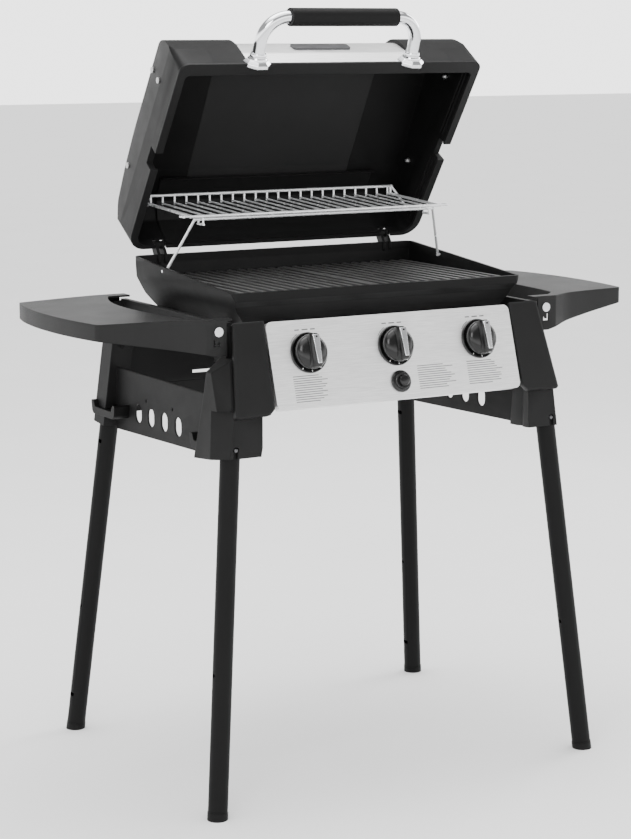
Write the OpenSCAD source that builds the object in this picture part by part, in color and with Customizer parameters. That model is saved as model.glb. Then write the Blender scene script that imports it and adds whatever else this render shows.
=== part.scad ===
// Portable three-burner gas charbroiler on four pull-off legs.
// X is the operator's right, -Y the front, +Z up; feet stand on z = 0.

/* [Firebox] */
// Half width of the firebox at its rim
rim_half = 280; // [260:1:300]
// Spacing of the cooking grate bars
grate_pitch = 19; // [15:1:25]
// Width of one grate bar
grate_bar = 7; // [5:0.5:10]

/* [Legs] */
// Outside diameter of a leg tube
leg_dia = 31.8; // [25:0.1:35]
// Sideways position of a foot
foot_x = 357.1; // [320:0.1:380]
// Front-to-back position of a foot
foot_y = 272.2; // [240:0.1:300]
// Clearance between leg and socket bore
leg_gap = 0.35; // [0.3:0.05:0.6]

/* [Control panel] */
// Half width of the control panel
panel_half = 232; // [220:1:240]
// Sideways spacing of the burner knobs
knob_pitch = 162.3; // [150:0.1:175]
// Radius of a knob
knob_r = 28; // [24:0.5:30]
// Radius of a knob bezel
bezel_r = 33; // [30:0.5:36]

/* [Lid] */
// Opening angle of the lid above level
lid_tilt = 56.1; // [50:0.1:65]
// Half width of the lid at its rim
lid_half = 290; // [285:1:300]
// Height of the hinge pins
hinge_z = 864; // [860:1:870]
// Depth of the hinge pins behind the centre
hinge_y = 183; // [180:1:190]

/* [Shelves] */
// Height of the shelf tops
shelf_z = 784; // [770:1:800]
// Sideways position of the shelf pivots
pivot_x = 313; // [310:1:316]
// Height of the shelf pivots
pivot_z = 765; // [762:1:768]

/* [Show] */

/* [Hidden] */
$fn = 48;

knob_xs = [-knob_pitch, 0, knob_pitch];
panel_tilt = 72.8;
leg_r = leg_dia / 2;
leg_lean_x = 5.37;
leg_lean_y = 5.12;
leg_top = 700;

// ---------- shared helpers ----------
function unit(v) = v / norm(v);
function fillet(a, b, c, r, n) = let(u = unit(a - b), v = unit(c - b),
  half = acos(u * v) / 2, p = b + u * r / tan(half), q = b + v * r / tan(half),
  m = b + unit(u + v) * r / sin(half), s = atan2(p[1] - m[1], p[0] - m[0]),
  e = atan2(q[1] - m[1], q[0] - m[0]), d = e - s,
  w = d > 180 ? d - 360 : (d < -180 ? d + 360 : d))
  [for (i = [0:n]) m + r * [cos(s + w * i / n), sin(s + w * i / n)]];
function soft(pts, radii, n = 5) = let(k = len(pts))
  [for (i = [0:k - 1]) each (radii[i] > 0
    ? fillet(pts[(i + k - 1) % k], pts[i], pts[(i + 1) % k], radii[i], n) : [pts[i]])];
function mirrored(pts) = concat(pts, [for (i = [len(pts) - 1:-1:0]) [-pts[i][0], pts[i][1]]]);

// Extrudes a (y, z) outline along X
module along_x(x0, x1) {
  translate([x0, 0, 0])
    rotate([90, 0, 90])
      linear_extrude(x1 - x0) children();
}

// Extrudes an (x, z) outline along Y
module along_y(y0, y1) {
  translate([0, y1, 0])
    rotate([90, 0, 0])
      linear_extrude(y1 - y0) children();
}

module rounded_rect(w, h, r) {
  square([w - 2 * r, h], center = true);
  square([w, h - 2 * r], center = true);
  for (x = [-1, 1], y = [-1, 1])
    translate([x * (w / 2 - r), y * (h / 2 - r)]) circle(r);
}

// Round rod between two points
module rod(a, b, r) {
  d = b - a;
  translate(a)
    rotate([0, acos(d[2] / norm(d)), atan2(d[1], d[0])])
      cylinder(r = r, h = norm(d));
}

// Frame on the sloping control panel: local x right, y up the face, z outward
module on_panel() {
  translate([0, -223.2, 724])
    rotate([panel_tilt, 0, 0]) children();
}

// Frame along a leg: local z runs up the tube from its foot
module on_leg(sx, sy) {
  translate([sx * foot_x, sy * foot_y, 0])
    rotate([sy * leg_lean_y, -sx * leg_lean_x, 0]) children();
}

// Frame on the lid: local -y runs from hinge to front lip, z out of the lid
module on_lid() {
  translate([0, hinge_y, hinge_z])
    rotate([-lid_tilt, 0, 0]) children();
}

// ---------- firebox ----------
box_side_out = soft([[-180, 819], [-180, 806], [-170, 796], [-166, 780], [-155, 757],
  [-128, 728], [-96, 706], [100, 706], [134, 730], [158, 766], [166, 796], [170, 836],
  [170, 849.9]], [0, 3, 6, 8, 12, 12, 10, 12, 12, 14, 10, 4, 0], 4);
box_side_in = soft([[-175, 830], [-175, 808], [-165.5, 797], [-161.5, 781], [-151, 760],
  [-125, 732], [-94, 711], [98, 711], [131, 734], [153.5, 768], [161.5, 797], [165.5, 836],
  [165.5, 862]], [0, 3, 6, 8, 12, 12, 10, 12, 12, 14, 10, 4, 0], 4);
box_end_out = mirrored([[150, 706], [196, 722], [232, 752], [260, 786], [275, 816],
  [279, 845], [rim_half, 852]]);
box_end_in = mirrored([[148, 711], [193.5, 726.5], [228.5, 755.5], [255.8, 788],
  [270.8, 817], [274.8, 845], [275.6, 870]]);

module firebox_outer() {
  intersection() {
    along_x(-rim_half - 4, rim_half + 4) polygon(box_side_out);
    along_y(-190, 180) polygon(box_end_out);
    linear_extrude(900) translate([0, -5]) rounded_rect(2 * rim_half, 350, 14);
  }
}

module hinge_ear(x0, x1) {
  along_x(x0, x1) {
    translate([hinge_y, hinge_z]) circle(7.5);
    polygon([[163, 836], [171, 830], [190.5, 862], [hinge_y, 871], [176, 866], [163, 848]]);
  }
}

module firebox() {
  color("#202225")
  difference() {
    union() {
      difference() {
        firebox_outer();
        intersection() {
          along_x(-rim_half, rim_half) polygon(box_side_in);
          along_y(-180, 170) polygon(box_end_in);
        }
      }
      translate([-244, -169, 800]) cube([488, 13, 6]);
      translate([-244, 147, 800]) cube([488, 17, 6]);
      translate([-205, -163, 762]) cube([410, 15, 4]);
      translate([-205, 140, 762]) cube([410, 15, 4]);
      translate([-205, 118, 724]) cube([410, 15, 6.9]);
      for (s = [-1, 1]) {
        hinge_ear(min(s * 217, s * 222), max(s * 217, s * 222));
        hinge_ear(min(s * 230, s * 235), max(s * 230, s * 235));
      }
    }
    // burner tubes enter through the front wall
    for (x = knob_xs)
      translate([x, -120, 742]) rotate([90, 0, 0]) cylinder(r = 11.02, h = 80);
    // drain in the floor
    translate([-40, -30, 700]) cube([80, 60, 16]);
    // warming rack bail pivots
    for (s = [-1, 1])
      translate([s * 262, 64, 833]) rotate([0, s * 90, 0]) cylinder(r = 2.56, h = 22);
    // hinge pin bores
    translate([-240, hinge_y, hinge_z]) rotate([0, 90, 0]) cylinder(r = 3, h = 480);
  }
}

module grate(x0, x1) {
  bars = floor((x1 - x0 - grate_bar) / grate_pitch);
  step = (x1 - x0 - grate_bar) / bars;
  color("#34363a")
  union() {
    for (i = [0:bars])
      translate([x0 + i * step, -160, 806.2]) cube([grate_bar, 312, 11.8]);
    for (y = [-160, -8, 144])
      translate([x0, y, 806.2]) cube([x1 - x0, 8, 9]);
  }
}

module grate_left() {
  grate(-250, -1);
}

module grate_right() {
  grate(1, 250);
}

module heat_tents() {
  color("#85888c")
  for (x = knob_xs)
    along_y(-150, 148)
      polygon([[x - 42, 766.2], [x - 39, 766.2], [x, 790], [x + 39, 766.2],
        [x + 42, 766.2], [x, 793.6]]);
}

module burners() {
  color("#8d9094")
  for (x = knob_xs)
    difference() {
      translate([x, 125, 742]) rotate([90, 0, 0]) cylinder(r = 11, h = 295);
      translate([x, 121, 742]) rotate([90, 0, 0]) cylinder(r = 9.6, h = 300);
      for (y = [-120:16:104], s = [-1, 1])
        translate([x, y, 742]) rotate([0, s * 70, 0]) cylinder(r = 1.6, h = 14);
    }
}

module gas_manifold() {
  color("#6b6e72")
  difference() {
    union() {
      translate([-214, -196, 716]) rotate([0, 90, 0]) cylinder(r = 8, h = 428);
      for (x = knob_xs)
        translate([x, 0, 0]) on_panel()
          translate([-13, -13, -40]) cube([26, 26, 28]);
    }
    for (x = knob_xs)
      translate([x, 0, 0]) on_panel()
        translate([0, 0, -37]) cylinder(r = 4.06, h = 40);
    translate([-210, -196, 716]) rotate([0, 90, 0]) cylinder(r = 6, h = 40);
  }
}

module gas_inlet() {
  color("#b08d4a")
  difference() {
    union() {
      translate([204, -196, 686]) cylinder(r = 6, h = 22);
      translate([204, -196, 676]) cylinder(r = 10, h = 10, $fn = 6);
      translate([204, -196, 660]) cylinder(r = 8, h = 16);
    }
    translate([204, -196, 659]) cylinder(r = 4, h = 46);
    translate([190, -196, 716]) rotate([0, 90, 0]) cylinder(r = 8, h = 30);
  }
}

module firebox_brackets() {
  color("#2a2c2f")
  for (s = [-1, 1], y = [-105, 95])
    difference() {
      translate([s > 0 ? 200 : -286, y, 745]) cube([86, 18, 5]);
      firebox_outer();
    }
}

module hinge_pins() {
  color("#a8abb0")
  for (s = [-1, 1])
    translate([s > 0 ? 216 : -236, hinge_y, hinge_z])
      rotate([0, 90, 0]) cylinder(r = 3, h = 20);
}

// ---------- control panel ----------
panel_top = 53.5;
panel_low = -87.5;
igniter_y = -59;

module panel_outline(inset) {
  translate([0, (panel_top + panel_low) / 2])
    rounded_rect(2 * (panel_half - inset), panel_top - panel_low - 2 * inset, 10 - inset);
}

module control_panel() {
  color("#c9ccd0")
  on_panel()
    difference() {
      translate([0, 0, -16]) linear_extrude(16) panel_outline(0);
      translate([0, 0, -17]) linear_extrude(15.2) panel_outline(1.8);
      for (x = knob_xs)
        translate([x, 0, -5]) cylinder(r = 5.5, h = 10);
      translate([0, igniter_y, -5]) cylinder(r = 12.05, h = 10);
    }
}

module knob_bezels() {
  color("#16181a")
  for (x = knob_xs)
    on_panel()
      translate([x, 0, 0])
        rotate_extrude()
          polygon([[6, 0], [bezel_r, 0], [bezel_r, 2.4], [bezel_r - 1.4, 4],
            [bezel_r - 3, 3.4], [bezel_r - 4, 1.6], [6, 1.6]]);
}

module igniter_module() {
  color("#1a1c1e")
  on_panel()
    translate([0, igniter_y, 0])
      rotate_extrude()
        polygon([[9.4, -34], [12, -34], [12, 0], [18, 0], [18, 3], [16.5, 5],
          [14, 5.4], [13.4, 8.4], [12.6, 9], [9.4, 9]]);
}

module igniter_button() {
  color("#24272a")
  on_panel()
    translate([0, igniter_y, 0])
      rotate_extrude()
        polygon([[0, -26], [9, -26], [9, 13], [8, 14.4], [6, 15], [0, 15]]);
}

module plunger(x) {
  color("#b9bcc0")
  on_panel()
    translate([x, 0, -32]) cylinder(r = 4, h = 48);
}

module plunger_left() {
  plunger(-knob_pitch);
}

module plunger_centre() {
  plunger(0);
}

module plunger_right() {
  plunger(knob_pitch);
}

module knob(x) {
  color("#1b1d1f")
  on_panel()
    translate([x, 0, 5.6])
      difference() {
        union() {
          rotate_extrude()
            polygon([[0, 0], [knob_r, 0], [knob_r, 5], [knob_r - 1, 8],
              [knob_r - 4, 11.5], [knob_r - 12, 14.5], [0, 16]]);
          intersection() {
            cylinder(r = knob_r - 0.5, h = 30);
            along_y(-40, 40)
              polygon([[-10.5, 1], [10.5, 1], [8.5, 20], [6, 25.6], [4.5, 26.4],
                [-4.5, 26.4], [-6, 25.6], [-8.5, 20]]);
          }
        }
        translate([0, 0, -1]) cylinder(r = 4.05, h = 12.4);
      }
}

module knob_left() {
  knob(-knob_pitch);
}

module knob_centre() {
  knob(0);
}

module knob_right() {
  knob(knob_pitch);
}

// ---------- corner covers ----------
cover_pts = soft([[234, 56.5], [288, 56.5], [290.5, 53.5], [308, -92], [303, -95.5],
  [248, -94], [237, -84]], [2, 2, 3, 3, 3, 8, 6], 4);
cover_in = soft([[237.5, 53], [286.6, 53], [304.4, -92], [248.5, -90.4], [240.5, -82]],
  [2, 3, 4, 6, 5], 4);

module corner_cover(s) {
  color("#26282b")
  mirror([s > 0 ? 0 : 1, 0, 0])
    difference() {
      on_panel()
        difference() {
          translate([0, 0, -26]) linear_extrude(26.5) polygon(cover_pts);
          translate([0, 0, -27]) linear_extrude(24) polygon(cover_in);
        }
      // open for the shelf arm and the frame behind
      translate([200, -203.6, 560]) cube([200, 60, 300]);
      translate([200, -240, 560]) cube([200, 80, 92]);
      translate([254, -240.6, 560]) cube([100, 20, 92]);
      translate([262, 0, 0]) front_post_keepout();
    }
}

module front_post_keepout() {
  along_x(0, 60) polygon([[-241, 600], [-241, 652], [-206, 764], [-150, 764], [-150, 600]]);
}

module corner_cover_left() {
  corner_cover(-1);
}

module corner_cover_right() {
  corner_cover(1);
}

// ---------- end frames ----------
post_yz = [[-240, 568], [-240, 650], [-217.7, 722], [-205.5, 722], [-199.5, 722],
  [-199.5, 773], [-184, 773], [-184, 722], [-176, 675], [-161, 596], [-155, 560]];
post_xz = [[286, 776], [296, 776], [297, 724], [323, 700], [326, 640], [333, 560], [259, 560],
  [246, 632], [246, 706], [286, 712]];
oval_ys = [112.5, 64.5, 14.5, -36];

module front_post_solid() {
  difference() {
    intersection() {
      along_x(240, 340) polygon(post_yz);
      along_y(-250, -150) polygon(post_xz);
    }
    // side face flares out behind the corner cover
    on_panel()
      translate([290.5, 53.5, 0.5])
        rotate([0, -36, 6.86])
          translate([0, -400, -80]) cube([100, 800, 120]);
    // chamfer that follows the tube round the outer front corner
    on_leg(1, -1)
      rotate([0, 0, -30])
        translate([leg_r + 2.8, -80, 500]) cube([60, 160, 145]);
    // inboard face leans out toward the rear
    linear_extrude(706)
      polygon([[200, -251], [252, -251], [279, -150], [200, -150]]);
  }
}

module rear_post_solid(s) {
  on_leg(s, 1)
    translate([-20, -20, 560]) cube([40, 40, 176]);
}

module leg_bore(s, f) {
  on_leg(s, f)
    translate([0, 0, 540]) cylinder(r = leg_r + leg_gap, h = leg_top + 2 - 540);
}

module end_frame(s) {
  color("#232528")
  mirror([s > 0 ? 0 : 1, 0, 0])
    difference() {
      union() {
        front_post_solid();
        rear_post_solid(1);
        difference() {
          along_x(298, 301)
            polygon([[-170, 560.6], [200, 549.5], [200, 657], [-172, 657]]);
          for (y = oval_ys)
            translate([290, y, 588]) rotate([0, 90, 0]) {
              translate([-4, 0, 0]) cylinder(r = 12, h = 20);
              translate([4, 0, 0]) cylinder(r = 12, h = 20);
              translate([-4, -12, 0]) cube([8, 24, 20]);
            }
          for (y = [82, -16])
            translate([290, y, 614]) rotate([0, 90, 0]) cylinder(r = 3, h = 20);
        }
        translate([286, -190, 745]) cube([10, 376, 31]);
        translate([286, 176, 690]) cube([10, 13, 96.5 - 17.5]);
        translate([286, -199.5, 757]) cube([pivot_x - 286, 15, 16]);
        translate([286, 176, 757]) cube([pivot_x - 286, 12.5, 16]);
        translate([pivot_x, -184.5, pivot_z]) rotate([90, 0, 0]) cylinder(r = 8, h = 15);
        translate([pivot_x, 188.5, pivot_z]) rotate([90, 0, 0]) cylinder(r = 8, h = 12.5);
      }
      leg_bore(1, -1);
      leg_bore(1, 1);
      // hollow of the pressed front post
      translate([262, -236, 560]) cube([8, 62, 120]);
      // keyholes for the leg buttons
      on_leg(1, -1) {
        translate([0, 0, 585]) rotate([90, 0, 0]) cylinder(r = 5, h = 40);
        translate([-4, -40, 550]) cube([8, 40, 35]);
      }
      // stud bores
      translate([pivot_x, -150, pivot_z]) rotate([90, 0, 0]) cylinder(r = 4, h = 60);
      translate([pivot_x, 240, pivot_z]) rotate([90, 0, 0]) cylinder(r = 4, h = 80);
    }
}

module end_frame_left() {
  end_frame(-1);
}

module end_frame_right() {
  end_frame(1);
}

module hook_outline(y0, y1, z) {
  polygon(soft([[y0, z + 16], [y0 + 9, z + 15], [y0 + 15, z + 4], [y1 - 15, z + 4],
    [y1 - 9, z + 15], [y1, z + 16], [y1 - 3, z - 3], [y1 - 8, z - 8], [y0 + 8, z - 8],
    [y0 + 3, z - 3]], [3, 3, 3, 3, 3, 3, 4, 3, 3, 4], 3));
}

module leg_hooks() {
  color("#1c1e20")
  for (s = [0, 1])
    mirror([s, 0, 0]) {
      difference() {
        along_x(301, 319) hook_outline(-190, -112, 578);
        front_post_solid();
      }
      difference() {
        along_x(301, 330) hook_outline(146, 240, 582);
        rear_post_solid(1);
        translate([280, 200, 500]) cube([26, 60, 200]);
      }
    }
}

module rear_panel() {
  color("#26282b")
  difference() {
    translate([-295, 206, 622]) cube([590, 2.5, 118]);
    translate([-150, 205, 633.5]) cube([300, 5, 5.5]);
    for (s = [-1, 1])
      rear_post_solid(s);
  }
}

module rear_crossbar() {
  color("#2b2d30")
  difference() {
    translate([-300, 206, 575]) cube([600, 14, 47]);
    translate([-301, 208.5, 571]) cube([602, 14, 48.5]);
    for (s = [-1, 1])
      rear_post_solid(s);
  }
}

module shelf_studs() {
  color("#c9ccd0")
  for (s = [-1, 1]) {
    translate([s * pivot_x, -188, pivot_z]) rotate([90, 0, 0]) cylinder(r = 4, h = 15.5);
    translate([s * pivot_x, -203.5, pivot_z]) rotate([90, 0, 0]) cylinder(r = 7.6, h = 2.6);
    translate([s * pivot_x, 192.6, pivot_z]) rotate([90, 0, 0]) cylinder(r = 4, h = 14);
    translate([s * pivot_x, 195.1, pivot_z]) rotate([90, 0, 0]) cylinder(r = 7.6, h = 2.5);
  }
}

// ---------- drip tray ----------
module drip_tray() {
  color("#3a3c3f")
  difference() {
    union() {
      translate([-150, -120, 664]) cube([300, 244, 22]);
      translate([-150, -130, 684]) cube([300, 264, 2]);
      translate([-172, -60, 676]) cube([22, 120, 10]);
    }
    translate([-148.4, -118.4, 665.6]) cube([296.8, 240.8, 24]);
    translate([-170, -58, 670]) cube([20, 116, 14]);
  }
}

module tray_rails() {
  color("#55585c")
  difference() {
    union() {
      translate([-170, -133, 682.1]) cube([340, 1.6, 60]);
      translate([-170, -133, 682.1]) cube([340, 11.5, 1.6]);
      translate([-170, 135.6, 682.1]) cube([340, 1.6, 60]);
      translate([-170, 125.7, 682.1]) cube([340, 11.5, 1.6]);
    }
    firebox_outer();
    translate([-13, -134, 728]) cube([26, 4, 20]);
    translate([-180, -140, 690]) cube([140, 10, 80]);
    translate([40, -140, 690]) cube([140, 10, 80]);
    translate([-180, 130, 690]) cube([140, 10, 80]);
    translate([40, 130, 690]) cube([140, 10, 80]);
  }
}

// ---------- lid ----------
lid_out = soft([[-2.9, -8.3], [-2.9, 7.7], [-10.9, 49.7], [-38.9, 75.7], [-98.9, 85.7],
  [-177.9, 94.7], [-286.9, 104.7], [-328, 106], [-368, 84], [-380.9, 27.7],
  [-380.9, -8.3]], [0, 20, 18, 40, 60, 60, 60, 30, 45, 30, 0], 5);
lid_mid = soft([[-4.4, -8.3], [-4.4, 7.5], [-12.3, 49.2], [-39.5, 74.2], [-99.2, 82.7],
  [-178.3, 88.7], [-287.2, 98.7], [-326, 99.6], [-362.6, 80], [-375, 27.2],
  [-375, -8.3]], [0, 20, 18, 40, 60, 60, 60, 30, 42, 30, 0], 5);
lid_in = soft([[-6.9, -8.3], [-6.9, 7.2], [-14.7, 47.8], [-40.3, 71.3], [-99.8, 79.7],
  [-178.6, 85.7], [-287.4, 95.7], [-325, 96.6], [-360, 78], [-372, 26.9],
  [-372, -8.3]], [0, 18, 16, 38, 60, 60, 60, 28, 40, 30, 0], 5);
lid_skin = [for (i = [0:len(lid_mid) - 1]) 0.55 * lid_mid[i] + 0.45 * lid_in[i]];
lid_end_out = soft(mirrored([[lid_half, -8.3], [287, 40], [276, 108], [250, 106.4],
  [165, 99.3]]), [0, 30, 22, 60, 0, 0, 60, 22, 30, 0], 5);
lid_end_in = soft(mirrored([[lid_half - 11, -8.4], [275.6, 40], [266, 103]]),
  [0, 30, 18, 18, 30, 0], 5);

module lid_plan(half, w0, w1, r_rear, r_front) {
  polygon(soft([[half, -w0], [half, -w1], [-half, -w1], [-half, -w0]],
    [r_rear, r_front, r_front, r_rear], 8));
}

module lid_solid() {
  intersection() {
    along_x(-lid_half, lid_half) polygon(lid_out);
    along_y(-390, 0) polygon(lid_end_out);
    translate([0, 0, -20])
      linear_extrude(140)
        polygon(soft(mirrored([[165, -375.2], [228, -380.9], [lid_half, -380.9],
          [lid_half, -2.9]]), [0, 50, 16, 32, 32, 16, 50, 0], 8));
  }
}

module lid_void() {
  intersection() {
    along_x(-lid_half, lid_half) polygon(lid_in);
    along_y(-390, 0) polygon(lid_end_in);
    translate([0, 0, -20]) linear_extrude(140) lid_plan(lid_half - 11, 6.9, 372, 26, 10);
  }
}

seam_x = 160;

module lid_cap(s) {
  color("#232528")
  on_lid()
    mirror([s > 0 ? 0 : 1, 0, 0])
      difference() {
        lid_solid();
        lid_void();
        translate([-300, -500, -50]) cube([300 + seam_x, 600, 250]);
        // rack pivot
        translate([262, -46.806, 18.2]) rotate([0, 90, 0]) cylinder(r = 2.56, h = 20);
        // notch in the side lip
        translate([260, -206, -20]) cube([40, 34, 28]);
        // pocket over the hinge ears
        translate([215.5, -30, -20]) cube([21, 40, 29.2]);
      }
}

module lid_cap_left() {
  lid_cap(-1);
}

module lid_cap_right() {
  lid_cap(1);
}

module lid_wrap() {
  color("#b9bcc0")
  on_lid()
    along_x(-seam_x, seam_x)
      difference() {
        polygon(lid_mid);
        polygon(lid_skin);
        translate([-373.6, -9]) square([368, 8]);
      }
}

module lid_liner() {
  color("#1b1c1e")
  on_lid()
    along_x(-seam_x, seam_x)
      difference() {
        polygon(lid_skin);
        polygon(lid_in);
        translate([-372, -9]) square([365.1, 8]);
      }
}

module lid_lip() {
  color("#2b2d30")
  on_lid()
    translate([0, 0, -12.3])
      difference() {
        linear_extrude(4) lid_plan(lid_half, 2.9, 380.9, 32, 16);
        translate([0, 0, -1]) linear_extrude(6) lid_plan(276, 8.5, 359, 24, 8);
        translate([274, -206, -1]) cube([40, 34, 6]);
        translate([-314, -206, -1]) cube([40, 34, 6]);
        // pockets over the hinges
        for (s = [-1, 1])
          translate([s * 226 - 10.5, -30, -1]) cube([21, 40, 6]);
      }
}

module lid_hinge_straps() {
  color("#202225")
  on_lid()
    for (s = [-1, 1])
      translate([s * 226, 0, 0])
        difference() {
          along_x(-3.6, 3.6) {
            circle(6.8);
            polygon([[-5.5, -4], [5.5, -4], [6.4, 3], [0, 34], [-8, 34], [-6, 4]]);
          }
          translate([-5, 0, 0]) rotate([0, 90, 0]) cylinder(r = 3.06, h = 10);
          intersection() {
            along_x(-5, 5) polygon(lid_out);
            translate([-6, -50, 9.2]) cube([12, 60, 60]);
          }
        }
}

bolt_spots = [[288.6, -308.9, 47.7], [282.8, -303.9, 84], [284.4, -116.9, 74]];

module lid_bolts() {
  color("#7c7f84")
  on_lid()
    for (s = [-1, 1], b = bolt_spots)
      difference() {
        translate([s * 262, b[1], b[2]]) rotate([0, s * 90, 0]) cylinder(r = 5, h = b[0] - 262);
        lid_solid();
      }
}

// ---------- handle ----------
module on_handle() {
  translate([0, -33.6, 1182.3])
    rotate([20, 0, 0]) children();
}

handle_top = 70.6;
handle_bend = 44;

module handle_tube() {
  color("#d5d7da")
  on_handle()
    for (s = [0, 1])
      mirror([s, 0, 0]) {
        translate([148, 0, 0]) cylinder(r = 10.5, h = handle_top - handle_bend);
        translate([148 - handle_bend, 0, handle_top - handle_bend])
          rotate([90, 0, 0])
            rotate_extrude(angle = 90) translate([handle_bend, 0]) circle(10.5);
        translate([101.5, 0, handle_top])
          rotate([0, 90, 0]) cylinder(r = 10.5, h = 148 - handle_bend - 101.5);
      }
}

module handle_ferrules() {
  color("#d5d7da")
  for (s = [-1, 1])
    difference() {
      on_handle()
        translate([s * 148, 0, -14]) cylinder(r1 = 22, r2 = 13, h = 24, $fn = 8);
      on_handle()
        translate([s * 148, 0, 0]) cylinder(r = 10.5, h = 30);
      on_lid() translate([-200, -371, -10]) cube([400, 340, 90]);
      on_lid() translate([-200, -381.1, -12.5]) cube([400, 350, 4.4]);
      on_lid() along_x(-200, 200) polygon(lid_mid);
      on_lid() along_x(seam_x - 0.01, 200) polygon(lid_out);
      on_lid() along_x(-200, 0.01 - seam_x) polygon(lid_out);
    }
}

module handle_grip() {
  color("#1b1d1f")
  rod([-101.5, -58, 1248.6], [101.5, -58, 1248.6], 15);
}

module badge_plate() {
  color("#303236")
  on_lid()
    translate([0, -369.65, 50])
      rotate([76.8, 0, 0])
        linear_extrude(3) rounded_rect(110, 20, 5);
}

// ---------- warming rack ----------
rack_rods = 22;
rack_half = 246;

wire_r = 1.6;
frame_r = 2.5;

module warming_rack() {
  color("#c9ccd0")
  union() {
    rod([-rack_half, 184, 948.5], [rack_half, 184, 948.5], frame_r);
    rod([-rack_half, 21, 925], [rack_half, 21, 925], frame_r);
    for (i = [0:rack_rods - 1]) {
      x = -rack_half + 8 + i * (2 * rack_half - 16) / (rack_rods - 1);
      rod([x, 184.4, 935], [x, 21, 925], wire_r);
      rod([x, 184, 932.4], [x, 184, 948.5], 1.9);
    }
    for (s = [-1, 1]) {
      rod([s * (rack_half - 1.5), 184.6, 935], [s * (rack_half - 3), 21, 925], 2.1);
      rod([s * (rack_half - 1.5), 184, 932], [s * (rack_half - 1.5), 184, 948.5], 2.35);
      rod([s * rack_half, 184, 948.5], [s * 269, 172, 913], 2.3);
      translate([s * rack_half, 184, 948.5]) sphere(r = 3.1);
      translate([s * 269, 172, 913]) sphere(r = 3.1);
      translate([s * 269, 172, 913]) rotate([0, s * 90, 0]) cylinder(r = frame_r, h = 10.5);
      // open hairpin at the front corner
      rod([s * 240, 21, 925.3], [s * 258, 21, 925.3], wire_r);
      rod([s * 241, 31, 925.3], [s * 258, 31, 925.3], wire_r);
      rod([s * 258, 18.6, 925.3], [s * 258, 33.4, 925.3], 2);
      // loop that hangs under the bail
      rod([s * 222, 21, 925], [s * 222, 21, 911.5], wire_r);
      rod([s * 222, 18.6, 911.5], [s * 222, 40.4, 911.5], 2);
      rod([s * 222, 38, 911.5], [s * 222, 38, 926.5], wire_r);
    }
  }
}

module rack_bail() {
  color("#c9ccd0")
  union() {
    rod([-234, 28, 919.6], [234, 28, 919.6], frame_r);
    for (s = [-1, 1]) {
      translate([s * 234, 28, 919.6]) sphere(r = 3);
      rod([s * 234, 28, 919.6], [s * 269.5, 64, 833], 2.3);
      translate([s * 269.5, 64, 833]) sphere(r = 3);
      translate([s * 269.5, 64, 833]) rotate([0, s * 90, 0]) cylinder(r = frame_r, h = 8);
    }
  }
}

// ---------- side shelves ----------
shelf_out = soft([[288, -203], [335, -203], [372, -182], [431, -171], [502, -165],
  [512, -110], [518, -45], [518, 30], [509, 105], [494, 160], [412, 179], [345, 192],
  [288, 192], [288, 165], [330, 165], [346, 130], [362, 85], [370, 30], [371, -40],
  [365, -105], [356, -160], [332, -184], [288, -184]],
  [2, 8, 90, 400, 10, 500, 600, 550, 350, 10, 30, 12, 2, 2, 10, 300, 200, 400, 500, 600, 8,
    8, 2], 6);
shelf_hole = soft([[290, -200], [334.2, -200], [373, -178.9], [431.4, -167.9],
  [499.2, -162.2], [509, -109.7], [515, -44.8], [515, 29.8], [506, 104], [491.6, 157.6],
  [411.5, 176], [344.7, 189], [290, 189], [290, 168], [331.6, 168], [348.7, 131],
  [364.9, 85.6], [373, 30.4], [374, -40.3], [368, -106], [358.6, -162.4], [333.3, -187],
  [290, -187]],
  [1, 5, 87, 397, 7, 497, 597, 547, 347, 7, 27, 9, 1, 1, 13, 303, 203, 403, 503, 603, 11,
    11, 1], 6);

module shelf(s) {
  color("#3c3f43")
  mirror([s > 0 ? 0 : 1, 0, 0])
    difference() {
      union() {
        translate([0, 0, shelf_z - 3]) linear_extrude(3) polygon(shelf_out);
        intersection() {
          translate([0, 0, 700]) linear_extrude(82)
            difference() {
              polygon(shelf_out);
              polygon(shelf_hole);
              square([297, 500], center = false);
              translate([0, -500]) square([297, 500]);
              // the crescent side carries no deep skirt
              translate([290, -188]) square([44, 376.5]);
            }
          along_y(-260, 260)
            polygon([[287, 726], [320, 726], [335, 730], [502, 758], [540, 758],
              [540, 784], [287, 784]]);
          union() {
            translate([280, -260, 758]) cube([260, 520, 30]);
            translate([280, -260, 700]) cube([240, 102, 90]);
          }
        }
      }
      translate([pivot_x, -150, pivot_z]) rotate([90, 0, 0]) cylinder(r = 4.06, h = 60);
      translate([pivot_x, 240, pivot_z]) rotate([90, 0, 0]) cylinder(r = 4.06, h = 60);
      // hook slot under the front stud
      translate([pivot_x - 4, -210, 742]) cube([11, 11, 3.6]);
      translate([pivot_x + 3.4, -210, 742]) cube([3.6, 11, 12]);
      translate([pivot_x - 4, -210, 742]) cube([3.6, 11, 6.5]);
    }
}

module shelf_left() {
  shelf(-1);
}

module shelf_right() {
  shelf(1);
}

// ---------- legs ----------
module leg(sx, sy) {
  color("#1e2022")
  on_leg(sx, sy)
    difference() {
      translate([0, 0, 12]) cylinder(r = leg_r, h = leg_top - 12);
      translate([0, 0, 11]) cylinder(r = leg_r - 1.6, h = leg_top);
      translate([-30, 0, 229]) rotate([0, 90, 0]) cylinder(r = 3.4, h = 60);
      if (sy > 0)
        for (z = [61, 525])
          translate([-30, -7, z]) cube([60, 14, 7]);
    }
}

module leg_front_left() {
  leg(-1, -1);
}

module leg_front_right() {
  leg(1, -1);
}

module leg_rear_left() {
  leg(-1, 1);
}

module leg_rear_right() {
  leg(1, 1);
}

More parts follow.
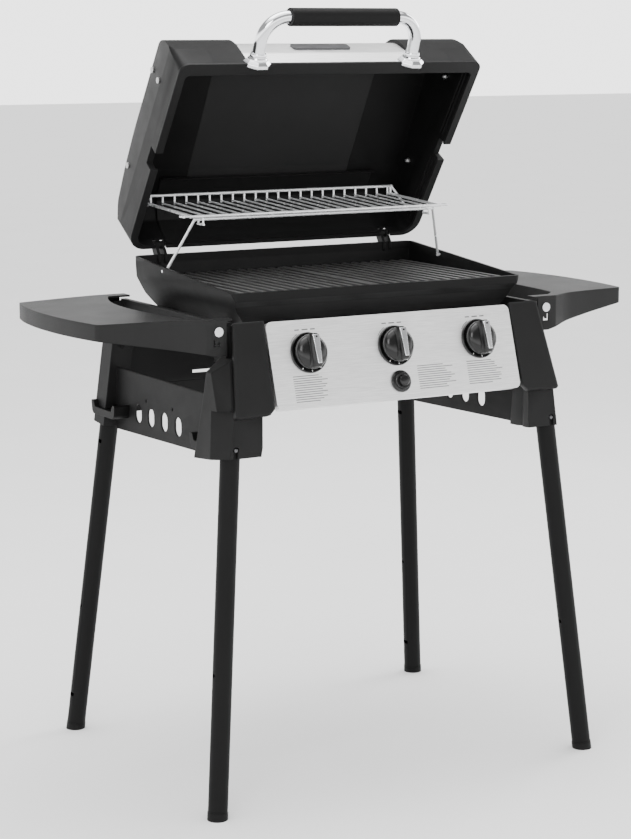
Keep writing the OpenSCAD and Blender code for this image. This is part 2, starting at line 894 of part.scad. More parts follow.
module foot(sx, sy) {
  color("#111213")
  difference() {
    on_leg(sx, sy) {
      translate([0, 0, -6]) cylinder(r = 16.6, h = 18);
      translate([0, 0, 10]) cylinder(r = leg_r - 1.6, h = 18);
    }
    translate([sx * foot_x - 50, sy * foot_y - 50, -50]) cube([100, 100, 50]);
  }
}

module foot_front_left() {
  foot(-1, -1);
}

module foot_front_right() {
  foot(1, -1);
}

module foot_rear_left() {
  foot(-1, 1);
}

module foot_rear_right() {
  foot(1, 1);
}

firebox();
grate_left();
grate_right();
heat_tents();
burners();
gas_manifold();
gas_inlet();
firebox_brackets();
hinge_pins();
control_panel();
knob_bezels();
corner_cover_left();
corner_cover_right();
end_frame_left();
end_frame_right();
leg_hooks();
rear_panel();
rear_crossbar();
shelf_studs();
tray_rails();
igniter_module();
igniter_button();
plunger_left();
plunger_centre();
plunger_right();
knob_left();
knob_centre();
knob_right();
lid_cap_left();
lid_cap_right();
lid_wrap();
lid_liner();
lid_lip();
lid_hinge_straps();
lid_bolts();
handle_tube();
handle_ferrules();
handle_grip();
badge_plate();
warming_rack();
rack_bail();
shelf_left();
shelf_right();
drip_tray();
leg_front_left();
leg_front_right();
leg_rear_left();
leg_rear_right();
foot_front_left();
foot_front_right();
foot_rear_left();
foot_rear_right();
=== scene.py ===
"""Looks for the portable charbroiler: materials, trim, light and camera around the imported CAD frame."""
import math
import random

import bpy
import bmesh
from mathutils import Matrix, Vector


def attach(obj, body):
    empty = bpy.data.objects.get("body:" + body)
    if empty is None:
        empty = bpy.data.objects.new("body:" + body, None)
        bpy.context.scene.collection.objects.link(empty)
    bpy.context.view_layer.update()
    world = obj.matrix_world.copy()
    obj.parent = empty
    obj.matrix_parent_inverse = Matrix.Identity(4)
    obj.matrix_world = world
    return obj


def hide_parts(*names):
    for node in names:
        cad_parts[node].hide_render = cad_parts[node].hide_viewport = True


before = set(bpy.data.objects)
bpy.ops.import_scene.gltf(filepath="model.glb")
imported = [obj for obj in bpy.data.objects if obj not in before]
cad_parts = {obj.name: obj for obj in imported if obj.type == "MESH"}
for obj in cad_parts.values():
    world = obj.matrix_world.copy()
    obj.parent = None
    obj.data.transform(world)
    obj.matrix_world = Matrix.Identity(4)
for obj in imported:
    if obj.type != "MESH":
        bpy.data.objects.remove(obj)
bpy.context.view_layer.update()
random.seed(7)

# ---------------------------------------------------------------- places in the row frame, metres
PANEL = Matrix.Translation((0, -0.2232, 0.724)) @ Matrix.Rotation(math.radians(72.8), 4, "X")
LID = Matrix.Translation((0, 0.183, 0.864)) @ Matrix.Rotation(math.radians(-56.1), 4, "X")
KNOB_X = {"left": -0.1623, "centre": 0.0, "right": 0.1623}
FOOT_X, FOOT_Y = 0.3571, 0.2722
LEAN_X, LEAN_Y = 5.37, 5.12


def leg_frame(sx, sy):
    """Local z runs up a leg from its foot."""
    turn = Matrix.Rotation(math.radians(-sx * LEAN_X), 4, "Y") @ Matrix.Rotation(
        math.radians(sy * LEAN_Y), 4, "X")
    return Matrix.Translation((sx * FOOT_X, sy * FOOT_Y, 0)) @ turn


# ---------------------------------------------------------------- materials
def shader(name, base, rough, metal=0.0, coat=0.0, coat_rough=0.2, spec=0.5):
    mat = bpy.data.materials.new(name)
    mat.use_nodes = True
    nodes = mat.node_tree.nodes
    bsdf = nodes["Principled BSDF"]
    bsdf.inputs["Base Color"].default_value = (*base, 1)
    bsdf.inputs["Roughness"].default_value = rough
    bsdf.inputs["Metallic"].default_value = metal
    bsdf.inputs["Specular IOR Level"].default_value = spec
    bsdf.inputs["Coat Weight"].default_value = coat
    bsdf.inputs["Coat Roughness"].default_value = coat_rough
    return mat, nodes, mat.node_tree.links, bsdf


def grain(nodes, links, scale, detail=4.0, stretch=(1, 1, 1), turn=(0, 0, 0)):
    """Noise over object space; stretch squeezes it along an axis to make brush lines."""
    where = nodes.new("ShaderNodeTexCoord")
    place = nodes.new("ShaderNodeMapping")
    place.inputs["Scale"].default_value = stretch
    place.inputs["Rotation"].default_value = turn
    noise = nodes.new("ShaderNodeTexNoise")
    noise.inputs["Scale"].default_value = scale
    noise.inputs["Detail"].default_value = detail
    links.new(where.outputs["Object"], place.inputs["Vector"])
    links.new(place.outputs["Vector"], noise.inputs["Vector"])
    return noise.outputs["Fac"]


def ramp(nodes, links, fac, low, high, lo_at=0.3, hi_at=0.7):
    r = nodes.new("ShaderNodeValToRGB")
    r.color_ramp.elements[0].position = lo_at
    r.color_ramp.elements[1].position = hi_at
    r.color_ramp.elements[0].color = (*low, 1)
    r.color_ramp.elements[1].color = (*high, 1)
    links.new(fac, r.inputs["Fac"])
    return r.outputs["Color"]


def spread(nodes, links, fac, low, high):
    m = nodes.new("ShaderNodeMapRange")
    m.inputs["To Min"].default_value = low
    m.inputs["To Max"].default_value = high
    links.new(fac, m.inputs["Value"])
    return m.outputs["Result"]


def soften(nodes, links, bsdf, height, strength, distance, edge):
    """Rounded edges in the shading, with a fine bump over them."""
    bevel = nodes.new("ShaderNodeBevel")
    bevel.samples = 4
    bevel.inputs["Radius"].default_value = edge
    bump = nodes.new("ShaderNodeBump")
    bump.inputs["Strength"].default_value = strength
    bump.inputs["Distance"].default_value = distance
    links.new(height, bump.inputs["Height"])
    links.new(bevel.outputs["Normal"], bump.inputs["Normal"])
    links.new(bump.outputs["Normal"], bsdf.inputs["Normal"])


def worn_edges(nodes, links, colour, bsdf, bright, strength=0.5):
    """Paint rubbed thin along the convex edges."""
    geo = nodes.new("ShaderNodeNewGeometry")
    edge = nodes.new("ShaderNodeMapRange")
    edge.inputs["From Min"].default_value = 0.53
    edge.inputs["From Max"].default_value = 0.62
    edge.inputs["To Max"].default_value = strength
    mix = nodes.new("ShaderNodeMix")
    mix.data_type = "RGBA"
    links.new(geo.outputs["Pointiness"], edge.inputs["Value"])
    links.new(edge.outputs["Result"], mix.inputs["Factor"])
    links.new(colour, mix.inputs["A"])
    mix.inputs["B"].default_value = (*bright, 1)
    links.new(mix.outputs["Result"], bsdf.inputs["Base Color"])


def painted(name, tone, rough=0.42, bump=0.12, scale=900, edge=0.0015, wear=0.35, spec=0.2):
    """Powder-coated metal: fine orange peel, slow tone drift and lightly rubbed edges."""
    mat, n, l, bsdf = shader(name, (tone,) * 3, rough, spec=spec)
    drift = grain(n, l, 7, 5)
    fine = grain(n, l, scale, 3)
    colour = ramp(n, l, drift, (tone * 0.8,) * 3, (tone * 1.22, tone * 1.22, tone * 1.25))
    worn_edges(n, l, colour, bsdf, (tone * 2.2 + 0.01,) * 3, wear)
    uneven = spread(n, l, grain(n, l, 40, 6), rough - 0.06, rough + 0.08)
    l.new(uneven, bsdf.inputs["Roughness"])
    soften(n, l, bsdf, fine, bump, 0.0006, edge)
    return mat


def brushed(name, tone, rough, stretch, edge=0.0012, turn=(0, 0, 0)):
    """Brushed stainless: long fine lines in tone, roughness and height."""
    mat, n, l, bsdf = shader(name, (tone,) * 3, rough, 1.0)
    lines = grain(n, l, 1100, 3, stretch, turn)
    smear = grain(n, l, 12, 4)
    colour = ramp(n, l, lines, (tone * 0.86,) * 3, (min(1, tone * 1.08),) * 3)
    l.new(colour, bsdf.inputs["Base Color"])
    mix = n.new("ShaderNodeMath")
    mix.operation = "MULTIPLY_ADD"
    l.new(smear, mix.inputs[0])
    mix.inputs[1].default_value = 0.14
    l.new(spread(n, l, lines, rough - 0.1, rough + 0.04), mix.inputs[2])
    l.new(mix.outputs[0], bsdf.inputs["Roughness"])
    soften(n, l, bsdf, lines, 0.08, 0.0003, edge)
    return mat


def polished(name, tone, rough, metal=1.0):
    """Bright plating with faint smudges."""
    mat, n, l, bsdf = shader(name, tone, rough, metal)
    smudge = grain(n, l, 55, 6)
    l.new(ramp(n, l, smudge, tuple(t * 0.93 for t in tone), tone), bsdf.inputs["Base Color"])
    l.new(spread(n, l, smudge, rough * 0.6, rough * 1.9), bsdf.inputs["Roughness"])
    soften(n, l, bsdf, smudge, 0.02, 0.0004, 0.0008)
    return mat


def moulded(name, tone, rough, bump=0.2, scale=1400, edge=0.001, coat=0.0, spec=0.25):
    """Moulded plastic or rubber with a spark-eroded grain."""
    mat, n, l, bsdf = shader(name, (tone,) * 3, rough, 0.0, coat, 0.15, spec)
    cell = n.new("ShaderNodeTexVoronoi")
    cell.inputs["Scale"].default_value = scale
    where = n.new("ShaderNodeTexCoord")
    l.new(where.outputs["Object"], cell.inputs["Vector"])
    drift = grain(n, l, 15, 5)
    colour = ramp(n, l, drift, (tone * 0.85,) * 3, (tone * 1.2,) * 3)
    worn_edges(n, l, colour, bsdf, (tone * 1.8 + 0.01,) * 3, 0.3)
    l.new(spread(n, l, drift, rough - 0.05, rough + 0.07), bsdf.inputs["Roughness"])
    soften(n, l, bsdf, cell.outputs["Distance"], bump, 0.0004, edge)
    return mat


def seasoned(name, tone):
    """Cast iron enamel, mottled with baked-on oil."""
    mat, n, l, bsdf = shader(name, (tone,) * 3, 0.5)
    patch = grain(n, l, 24, 8)
    colour = ramp(n, l, patch, (tone * 0.6, tone * 0.58, tone * 0.55), (tone * 1.5,) * 3)
    worn_edges(n, l, colour, bsdf, (tone * 2.5,) * 3, 0.5)
    l.new(spread(n, l, patch, 0.38, 0.62), bsdf.inputs["Roughness"])
    soften(n, l, bsdf, grain(n, l, 500, 4), 0.3, 0.0006, 0.0012)
    return mat


CAST = painted("cast_paint", 0.0045, 0.46, 0.16, 700, spec=0.12)
FRAME = painted("frame_paint", 0.006, 0.5, 0.14, 900, 0.003, spec=0.1)
COVER = moulded("cover_paint", 0.004, 0.32, 0.1, 1500, 0.006, 0.05, 0.16)
INNER = painted("lid_inner_paint", 0.0095, 0.5, 0.25, 500, spec=0.14)
LIP = painted("lip_paint", 0.006, 0.42, 0.12, 900, spec=0.12)
LEGS = painted("leg_paint", 0.0025, 0.45, 0.1, 900, spec=0.08)
IRON = seasoned("grate_enamel", 0.035)
STEEL = brushed("brushed_panel", 0.86, 0.36, (0.03, 1, 1))
WRAP = brushed("brushed_wrap", 0.86, 0.34, (0.03, 1, 1), 0.002)
DULL = brushed("dull_steel", 0.4, 0.45, (1, 0.1, 1))
ZINC = brushed("zinc_plate", 0.5, 0.4, (1, 1, 0.2))
CHROME = polished("chrome_plate", (0.86, 0.87, 0.89), 0.07)
WIRE = polished("wire_plate", (0.92, 0.93, 0.94), 0.2, 0.55)
BRASS = polished("brass_fitting", (0.62, 0.44, 0.18), 0.28)
GLOSS = moulded("knob_plastic", 0.005, 0.2, 0.05, 1600, 0.0012, 0.25)
TRIM = moulded("bracket_plastic", 0.0015, 0.4, 0.1, 1600, 0.0012, spec=0.1)
SHELF = moulded("shelf_plastic", 0.008, 0.47, 0.25, 1300, 0.003, spec=0.15)
RUBBER = moulded("grip_rubber", 0.003, 0.5, 0.2, 1200, 0.002, spec=0.12)
TRAY = painted("tray_enamel", 0.03, 0.4, 0.1, 700)
BADGE = polished("badge_metal", (0.12, 0.12, 0.125), 0.3)
INK = moulded("print_ink", 0.09, 0.6, 0.05, 2500, 0.0001)
WHITE_INK = moulded("white_ink", 0.7, 0.5, 0.05, 2500, 0.0001)

LOOKS = {
    CAST: ["firebox", "lid_cap_left", "lid_cap_right", "lid_hinge_straps", "firebox_brackets"],
    FRAME: ["end_frame_left", "end_frame_right", "rear_panel", "rear_crossbar"],
    COVER: ["corner_cover_left", "corner_cover_right"],
    LIP: ["lid_lip"],
    INNER: ["lid_liner"],
    IRON: ["grate_left", "grate_right"],
    DULL: ["heat_tents", "burners", "gas_manifold"],
    ZINC: ["hinge_pins", "tray_rails", "lid_bolts", "plunger_left", "plunger_centre",
           "plunger_right"],
    BRASS: ["gas_inlet"],
    STEEL: ["control_panel"],
    WRAP: ["lid_wrap"],
    CHROME: ["handle_tube", "handle_ferrules", "shelf_studs"],
    WIRE: ["warming_rack", "rack_bail"],
    GLOSS: ["knob_bezels", "knob_left", "knob_centre", "knob_right", "igniter_module",
            "igniter_button"],
    TRIM: ["leg_hooks"],
    SHELF: ["shelf_left", "shelf_right"],
    RUBBER: ["handle_grip", "foot_front_left", "foot_front_right", "foot_rear_left",
             "foot_rear_right"],
    LEGS: ["leg_front_left", "leg_front_right", "leg_rear_left", "leg_rear_right"],
    TRAY: ["drip_tray"],
    BADGE: ["badge_plate"],
}


def dress(obj, mat):
    if not obj.material_slots:
        obj.data.materials.append(mat)
    for s in obj.material_slots:
        s.link = "OBJECT"
        s.material = mat


def round_shading(obj):
    """Smooth normals over the curved CAD faces, split again along the real edges."""
    for p in obj.data.polygons:
        p.use_smooth = True
    for name in ("custom_normal", "sharp_edge", "sharp_face"):
        given = obj.data.attributes.get(name)
        if given:
            obj.data.attributes.remove(given)
    weld = obj.modifiers.new("weld", "WELD")
    weld.merge_threshold = 0.00001
    split = obj.modifiers.new("split", "EDGE_SPLIT")
    split.split_angle = math.radians(24)


for look, names in LOOKS.items():
    for name in names:
        dress(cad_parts[name], look)
        round_shading(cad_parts[name])


# ---------------------------------------------------------------- mesh helpers
def piece(name, bm, mat, body, matrix=None, smooth=True, bevel=0.0):
    """Turns a bmesh into a finished object that rides on a body."""
    mesh = bpy.data.meshes.new(name)
    if matrix is not None:
        bm.transform(matrix)
    bmesh.ops.recalc_face_normals(bm, faces=bm.faces)
    bm.to_mesh(mesh)
    bm.free()
    obj = bpy.data.objects.new(name, mesh)
    bpy.context.scene.collection.objects.link(obj)
    mesh.materials.append(mat)
    if bevel:
        mod = obj.modifiers.new("soft_edges", "BEVEL")
        mod.width = bevel
        mod.segments = 3
        mod.limit_method = "ANGLE"
        mod.angle_limit = math.radians(28)
    for face in mesh.polygons:
        face.use_smooth = smooth
    if smooth:
        mesh.set_sharp_from_angle(angle=math.radians(35))
    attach(obj, body)
    return obj


def lathe(bm, profile, steps=64, centre=(0, 0, 0)):
    """Spins (radius, height) points about local z."""
    c = Vector(centre)
    rings = []
    for r, z in profile:
        if r < 1e-7:
            rings.append([bm.verts.new(c + Vector((0, 0, z)))])
            continue
        rings.append([bm.verts.new(c + Vector((r * math.cos(t), r * math.sin(t), z)))
                      for t in (2 * math.pi * i / steps for i in range(steps))])
    for a, b in zip(rings, rings[1:]):
        for i in range(steps):
            j = (i + 1) % steps
            quad = [a[i % len(a)], a[j % len(a)], b[j % len(b)], b[i % len(b)]]
            face = list(dict.fromkeys(quad))
            if len(face) > 2:
                bm.faces.new(face)


def solid(bm, start, end):
    """Closed solid between two outlines that have the same number of points."""
    low = [bm.verts.new(p) for p in start]
    high = [bm.verts.new(p) for p in end]
    bm.faces.new(low[::-1])
    bm.faces.new(high)
    for i in range(len(low)):
        j = (i + 1) % len(low)
        bm.faces.new((low[i], low[j], high[j], high[i]))


def prism(bm, outline, z0, z1):
    """Closed prism from an (x, y) outline."""
    solid(bm, [(x, y, z0) for x, y in outline], [(x, y, z1) for x, y in outline])


def slab(bm, lo, hi):
    """Box between two corners."""
    outline = [(lo[0], lo[1]), (hi[0], lo[1]), (hi[0], hi[1]), (lo[0], hi[1])]
    prism(bm, outline, lo[2], hi[2])


# ---------------------------------------------------------------- dials
KNOB_R = 0.028
KNOB_BASE = 0.0056
DOME = [(0.0, 0.0), (KNOB_R, 0.0), (KNOB_R, 0.004), (0.0276, 0.0068), (0.0262, 0.0096),
        (0.0236, 0.0122), (0.019, 0.0144), (0.012, 0.0157), (0.0, 0.016)]
# (y, half width, height) along the grip, then its shoulders as parts of the half width and height
GRIP = [(-0.0268, 0.0105, 0.0205), (-0.023, 0.0118, 0.0243), (-0.012, 0.012, 0.0262),
        (0.004, 0.0118, 0.0266), (0.018, 0.0112, 0.0258), (0.0245, 0.0104, 0.0243),
        (0.0272, 0.0092, 0.021)]
SHOULDERS = [(0.93, 0.45), (0.72, 0.82), (0.52, 0.97)]
GRIP_FOOT = 0.001
INLAY = [(-0.0034, -0.022), (0.0034, -0.022), (0.0042, -0.008), (0.0058, 0.0242),
         (-0.0058, 0.0242), (-0.0042, -0.008)]
INLAY_Z = (0.0235, 0.0272)
DOT = [(0, 0.027), (0.0017, 0.027), (0.0017, 0.0276), (0.0013, 0.02775), (0, 0.02775)]
DOT_AT = (0, 0.0205, 0)


def grip_section(y, half, top):
    left = [(-half * w, y, top * h) for w, h in SHOULDERS]
    right = [(half * w, y, top * h) for w, h in reversed(SHOULDERS)]
    return [(-half, y, GRIP_FOOT), *left, (0, y, top), *right, (half, y, GRIP_FOOT)]


def grip_mesh():
    bm = bmesh.new()
    rings = [[bm.verts.new(p) for p in grip_section(*station)] for station in GRIP]
    last = len(rings[0]) - 1
    for a, b in zip(rings, rings[1:]):
        for i in range(last):
            bm.faces.new((a[i], a[i + 1], b[i + 1], b[i]))
        bm.faces.new((a[0], a[last], b[last], b[0]))
    bm.faces.new(rings[0])
    bm.faces.new(rings[-1][::-1])
    return bm


def dial(side):
    """Domed knob with a raised grip, a bright inlay and a dark pointer dot."""
    at = PANEL @ Matrix.Translation((KNOB_X[side], 0, KNOB_BASE))
    body = "dial_" + side
    dome = bmesh.new()
    lathe(dome, DOME, 96)
    inlay = bmesh.new()
    prism(inlay, INLAY, *INLAY_Z)
    dot = bmesh.new()
    lathe(dot, DOT, 24, DOT_AT)
    made = [piece("dial_dome_" + side, dome, GLOSS, body, at, True, 0.0006),
            piece("dial_grip_" + side, grip_mesh(), GLOSS, body, at, True, 0.0007),
            piece("dial_inlay_" + side, inlay, CHROME, body, at, True, 0.0006),
            piece("dial_dot_" + side, dot, GLOSS, body, at)]
    for obj in made:
        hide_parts("knob_" + side)


for side in KNOB_X:
    dial(side)


# ---------------------------------------------------------------- marks on the control panel
PROUD = 0.00012
TICK_ANGLES = (-123, -90, -57)
TICK_R = 0.0302
TICK_HALF_LENGTH, TICK_HALF_WIDTH = 0.0014, 0.0005
TICK_Z, TICK_THICK = 0.0035, 0.0003
WORD_WIDTHS = (0.0085, 0.011, 0.0085)
WORD_START, WORD_PITCH = -0.0155, 0.0145
WORD_Y = (0.0368, 0.0386)
ARC_START, ARC_PITCH, ARC_DASHES, ARC_FILL = 118, 4.4, 7, 0.98
ARC_R = (0.0345, 0.0354)
RULE_BLOCKS = [(-0.197, -0.128, 12), (0.035, 0.107, 11), (0.132, 0.205, 11)]
RULE_TOP, RULE_PITCH, RULE_HALF = -0.0365, 0.0037, 0.0006


def tick(bm, x, degrees):
    ang = math.radians(degrees)
    out = Vector((math.cos(ang), math.sin(ang), 0))
    across = Vector((-math.sin(ang), math.cos(ang), 0)) * TICK_HALF_WIDTH
    along = out * TICK_HALF_LENGTH
    c = Vector((x, 0, TICK_Z)) + out * TICK_R
    quad = [c - along - across, c + along - across, c + along + across, c - along + across]
    solid(bm, quad, [p + Vector((0, 0, TICK_THICK)) for p in quad])


def arc_dash(bm, x, i):
    a0 = math.radians(ARC_START + i * ARC_PITCH)
    a1 = math.radians(ARC_START + (i + ARC_FILL) * ARC_PITCH)
    corners = ((ARC_R[0], a0), (ARC_R[1], a0), (ARC_R[1], a1), (ARC_R[0], a1))
    prism(bm, [(x + r * math.cos(a), r * math.sin(a)) for r, a in corners], 0, PROUD)


def rule_block(bm, x0, x1, rows):
    """Ragged lines; the first and last are the shorter ones."""
    for row in range(rows):
        reach = (0.62, 0.8) if row in (0, rows - 1) else (0.72, 1.0)
        end = x0 + (x1 - x0) * random.uniform(*reach)
        y = RULE_TOP - row * RULE_PITCH
        slab(bm, (x0, y - RULE_HALF, 0), (end, y + RULE_HALF, PROUD))


def marks():
    """Generic fine rules where a panel carries its print, and ticks round each dial."""
    ink = bmesh.new()
    light_ink = bmesh.new()
    for x in KNOB_X.values():
        for degrees in TICK_ANGLES:
            tick(light_ink, x, degrees)
        for i, width in enumerate(WORD_WIDTHS):
            mid = x + WORD_START + i * WORD_PITCH
            slab(ink, (mid - width / 2, WORD_Y[0], 0), (mid + width / 2, WORD_Y[1], PROUD))
        for i in range(ARC_DASHES):
            arc_dash(ink, x, i)
    for block in RULE_BLOCKS:
        rule_block(ink, *block)
    piece("panel_rules", ink, INK, "base", PANEL, False)
    piece("dial_ticks", light_ink, WHITE_INK, "base", PANEL, False)


marks()


# ---------------------------------------------------------------- lid inside
# The bent sheet's side view in the lid's frame, as (y, z)
SHEET_PATH = [(-0.0085, -0.006), (-0.0086, 0.0076), (-0.0115, 0.026), (-0.0174, 0.0456),
              (-0.0424, 0.0672), (-0.062, 0.0716), (-0.086, 0.0742), (-0.0884, 0.0704),
              (-0.089, 0.064)]
SHEET_HALF, SHEET_THICK = 0.212, 0.0011
SLOPE = 3
# Painted shadows of the warming rack's bars, drawn as dark chevrons on the sheet
SHADOW_CHEVRONS, SHADOW_MARGIN = 23, 0.016
SHADOW_WIDTH, SHADOW_SLANT, SHADOW_HEIGHT = 0.0035, -0.004, 0.0065
SHADOW_DEPTH = (-0.0003, 0.0004)


def inner_sheet(path):
    bm = bmesh.new()
    rows = []
    for i, p in enumerate(path):
        along = (path[min(i + 1, len(path) - 1)] - path[max(i - 1, 0)]).normalized()
        out = Vector((0, -along.z, along.y)) * -SHEET_THICK
        rows.append([bm.verts.new(q + Vector((x, 0, 0)))
                     for q in (p, p + out) for x in (-SHEET_HALF, SHEET_HALF)])
    for a, b in zip(rows, rows[1:]):
        for i, j in ((0, 1), (1, 3), (3, 2), (2, 0)):
            bm.faces.new((a[i], a[j], b[j], b[i]))
    for r in (rows[0], rows[-1]):
        bm.faces.new((r[0], r[1], r[3], r[2]))
    return bm


def rack_shadow_chevrons(low, high):
    """Painted shadows of the warming rack's bars: a row of dark chevrons half way up the sheet's sloping
    face.
    """
    bm = bmesh.new()
    up = (high - low).normalized()
    inward = Vector((0, -up.z, up.y))
    mid = low.lerp(high, 0.5)
    pitch = 2 * (SHEET_HALF - SHADOW_MARGIN) / (SHADOW_CHEVRONS - 1)
    for i in range(SHADOW_CHEVRONS):
        x = SHADOW_MARGIN - SHEET_HALF + i * pitch
        for side in (-1, 1):
            tip = side * SHADOW_HEIGHT
            flat = [(x, 0.0), (x + SHADOW_WIDTH, 0.0), (x + SHADOW_WIDTH + SHADOW_SLANT, tip),
                    (x + SHADOW_SLANT, tip)]
            solid(bm, *([mid + Vector((a, 0, 0)) + up * b + inward * d for a, b in flat]
                        for d in SHADOW_DEPTH))
    return bm


def lid_baffle():
    """Bent inner sheet over the hinges, with a top flange and a row of dark chevrons painted as the
    warming rack's bar shadows.
    """
    path = [Vector((0, y, z)) for y, z in SHEET_PATH]
    piece("lid_inner_sheet", inner_sheet(path), CAST, "lid", LID, False)
    # Painted shadow: dark chevrons in the leg paint where the rack's bars throw their shadows
    piece("lid_rack_shadow_paint", rack_shadow_chevrons(path[SLOPE], path[SLOPE + 1]), LEGS, "lid", LID, False)


GUSSET = [(-0.3712, -0.008), (-0.3712, 0.014), (-0.3575, -0.008)]
GUSSET_X = (-0.2, -0.07, 0.0, 0.135)
GUSSET_HALF = 0.0012


def lid_gussets():
    """Small triangular webs behind the front lip."""
    bm = bmesh.new()
    for x in GUSSET_X:
        solid(bm, *([(x + d, y, z) for y, z in GUSSET] for d in (-GUSSET_HALF, GUSSET_HALF)))
    piece("lid_gussets", bm, LEGS, "lid", LID, False)


# Beads as (z, distance out from the middle), each in two lengths along y
BEADS = ((0.004, 0.2781), (0.0115, 0.2776))
BEAD_LENGTHS = ((-0.352, -0.215), (-0.165, -0.03))
BEAD_R, BEAD_SINK, BEAD_STEPS = 0.0016, 0.0004, 6
NUT = [(0.0, -0.001), (0.005, -0.001), (0.005, 0.003), (0.0032, 0.0042), (0.003, 0.0065),
       (0.0, 0.007)]
NUTS_AT = ((-0.3089, 0.0477, 0.2735), (-0.1169, 0.060, 0.2722))


def half_round(side, x, y, z):
    turns = (math.pi * (k / BEAD_STEPS - 0.5) for k in range(BEAD_STEPS + 1))
    return [(side * (x + BEAD_SINK - BEAD_R * math.cos(t)), y, z + BEAD_R * math.sin(t))
            for t in turns]


def lid_beads():
    """Twin beads along each side wall inside the lid."""
    bm = bmesh.new()
    for side in (-1, 1):
        for z, x in BEADS:
            for y0, y1 in BEAD_LENGTHS:
                solid(bm, half_round(side, x, y0, z), half_round(side, x, y1, z))
    piece("lid_beads", bm, CAST, "lid", LID)


def lid_nuts(side, tag):
    """The screw ends behind the lid's bolts."""
    bm = bmesh.new()
    for y, z, x in NUTS_AT:
        before = set(bm.verts)
        lathe(bm, NUT, 6)
        added = [v for v in bm.verts if v not in before]
        at = Matrix.Translation((side * x, y, z)) @ Matrix.Rotation(math.radians(-90 * side), 4, "Y")
        bmesh.ops.transform(bm, matrix=at, verts=added)
    piece("lid_nuts_" + tag, bm, ZINC, "lid", LID, False)


lid_beads()
lid_nuts(-1, "left")
lid_nuts(1, "right")
lid_baffle()
lid_gussets()


# ---------------------------------------------------------------- handle collars
HANDLE = Matrix.Translation((0, -0.0336, 1.1823)) @ Matrix.Rotation(math.radians(20), 4, "X")
HANDLE_X = {"left": -0.148, "right": 0.148}
COLLAR = [(0.0, -0.013), (0.0222, -0.013), (0.0236, -0.0115), (0.0236, -0.0065),
          (0.0215, -0.0045), (0.0175, -0.001), (0.0, -0.001)]
RING = [(0.0107, -0.002), (0.0162, -0.002), (0.0158, 0.001), (0.0138, 0.0035),
        (0.0136, 0.0075), (0.0125, 0.0095), (0.0107, 0.0098), (0.0107, -0.002)]
FLAT_FORWARD = Matrix.Rotation(math.radians(22.5), 4, "Z")


def collars():
    """Octagonal collar and ring where each end of the handle meets the lid."""
    for side, x in HANDLE_X.items():
        at = HANDLE @ Matrix.Translation((x, 0, 0)) @ FLAT_FORWARD
        bm = bmesh.new()
        lathe(bm, COLLAR, 8)
        collar = piece("handle_collar_" + side, bm, CHROME, "lid", at, False, 0.0008)
        bm = bmesh.new()
        lathe(bm, RING, 48)
        ring = piece("handle_ring_" + side, bm, CHROME, "lid", at)
        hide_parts("handle_ferrules")
        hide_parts("handle_ferrules")


collars()


# ---------------------------------------------------------------- snap buttons
BUTTON = [(0.0, 0.0), (0.0036, 0.0), (0.0036, 0.003), (0.003, 0.0046), (0.0016, 0.0054),
          (0.0, 0.0056)]
BUTTON_AT = (0, -0.0156, 0.585)


def snap_buttons():
    """Spring buttons that lock the front legs in their sockets."""
    place = Matrix.Translation(BUTTON_AT) @ Matrix.Rotation(math.radians(90), 4, "X")
    for sx, name in ((-1, "front_left"), (1, "front_right")):
        bm = bmesh.new()
        lathe(bm, BUTTON, 32)
        piece("snap_button_" + name, bm, BADGE, "support_" + name, leg_frame(sx, -1) @ place,
              True, 0.0004)


snap_buttons()


# ---------------------------------------------------------------- floor, light and camera
FLOOR_HALF = 30
SKY_STRENGTH = 3.1
SKY_GREY = 0.16
# (name, place, target, size, watts)
LAMPS = [("key", (-2.4, -2.6, 3.0), (0, 0, 0.8), (1.6, 1.6), 60),
         ("rim", (2.6, 0.6, 2.2), (0, 0, 0.8), (1.2, 1.6), 35),
         ("top", (0, 0.4, 3.4), (0, 0, 0.9), (2.2, 1.6), 45)]
LENS = 96.2
CAMERA_AT = (-1.9231, -3.27037, 1.23519)
AZIMUTH, ELEVATION = math.radians(-30.2), math.radians(9.97)


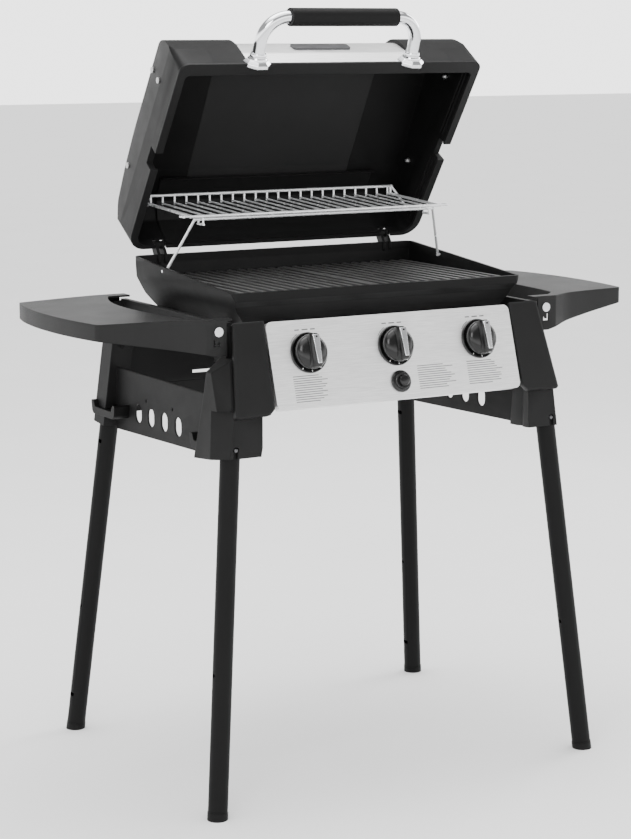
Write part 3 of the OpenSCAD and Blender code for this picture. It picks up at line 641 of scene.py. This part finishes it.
def stage():
    """Paper floor."""
    bm = bmesh.new()
    corners = ((-1, -1), (1, -1), (1, 1), (-1, 1))
    bm.faces.new([bm.verts.new((x * FLOOR_HALF, y * FLOOR_HALF, 0)) for x, y in corners])
    mesh = bpy.data.meshes.new("floor")
    bm.to_mesh(mesh)
    bm.free()
    floor = bpy.data.objects.new("floor", mesh)
    bpy.context.scene.collection.objects.link(floor)
    mat, n, l, bsdf = shader("floor_paper", (0.92, 0.92, 0.92), 0.8)
    l.new(ramp(n, l, grain(n, l, 3, 4), (0.91,) * 3, (0.93,) * 3), bsdf.inputs["Base Color"])
    mesh.materials.append(mat)


def lamp(name, place, target, size, watts):
    data = bpy.data.lights.new(name, "AREA")
    data.shape = "RECTANGLE"
    data.size, data.size_y = size
    data.energy = watts
    obj = bpy.data.objects.new(name, data)
    obj.location = place
    obj.rotation_mode = "QUATERNION"
    obj.rotation_quaternion = (Vector(target) - Vector(place)).to_track_quat("-Z", "Y")
    bpy.context.scene.collection.objects.link(obj)


def light():
    """White surround with a grey band above the horizon, so that bright metal has contrast."""
    world = bpy.data.worlds.new("studio")
    bpy.context.scene.world = world
    world.use_nodes = True
    nodes, links = world.node_tree.nodes, world.node_tree.links
    sky = nodes["Background"]
    sky.inputs["Strength"].default_value = SKY_STRENGTH
    where = nodes.new("ShaderNodeTexCoord")
    split = nodes.new("ShaderNodeSeparateXYZ")
    links.new(where.outputs["Generated"], split.inputs["Vector"])
    band = nodes.new("ShaderNodeValToRGB")
    stops = band.color_ramp.elements
    stops[0].position, stops[0].color = 0.2, (1, 1, 1, 1)
    stops[1].position, stops[1].color = 0.86, (1, 1, 1, 1)
    for at in (0.36, 0.7):
        stops.new(at).color = (SKY_GREY, SKY_GREY, SKY_GREY, 1)
    links.new(split.outputs["Z"], band.inputs["Fac"])
    links.new(band.outputs["Color"], sky.inputs["Color"])
    for values in LAMPS:
        lamp(*values)


def camera():
    data = bpy.data.cameras.new("photo")
    data.lens = LENS
    data.sensor_width = 36
    cam = bpy.data.objects.new("photo", data)
    back = Vector((math.sin(AZIMUTH) * math.cos(ELEVATION),
                   -math.cos(AZIMUTH) * math.cos(ELEVATION), math.sin(ELEVATION)))
    cam.location = CAMERA_AT
    cam.rotation_mode = "QUATERNION"
    cam.rotation_quaternion = (-back).to_track_quat("-Z", "Y")
    bpy.context.scene.collection.objects.link(cam)
    bpy.context.scene.camera = cam


stage()
light()
camera()
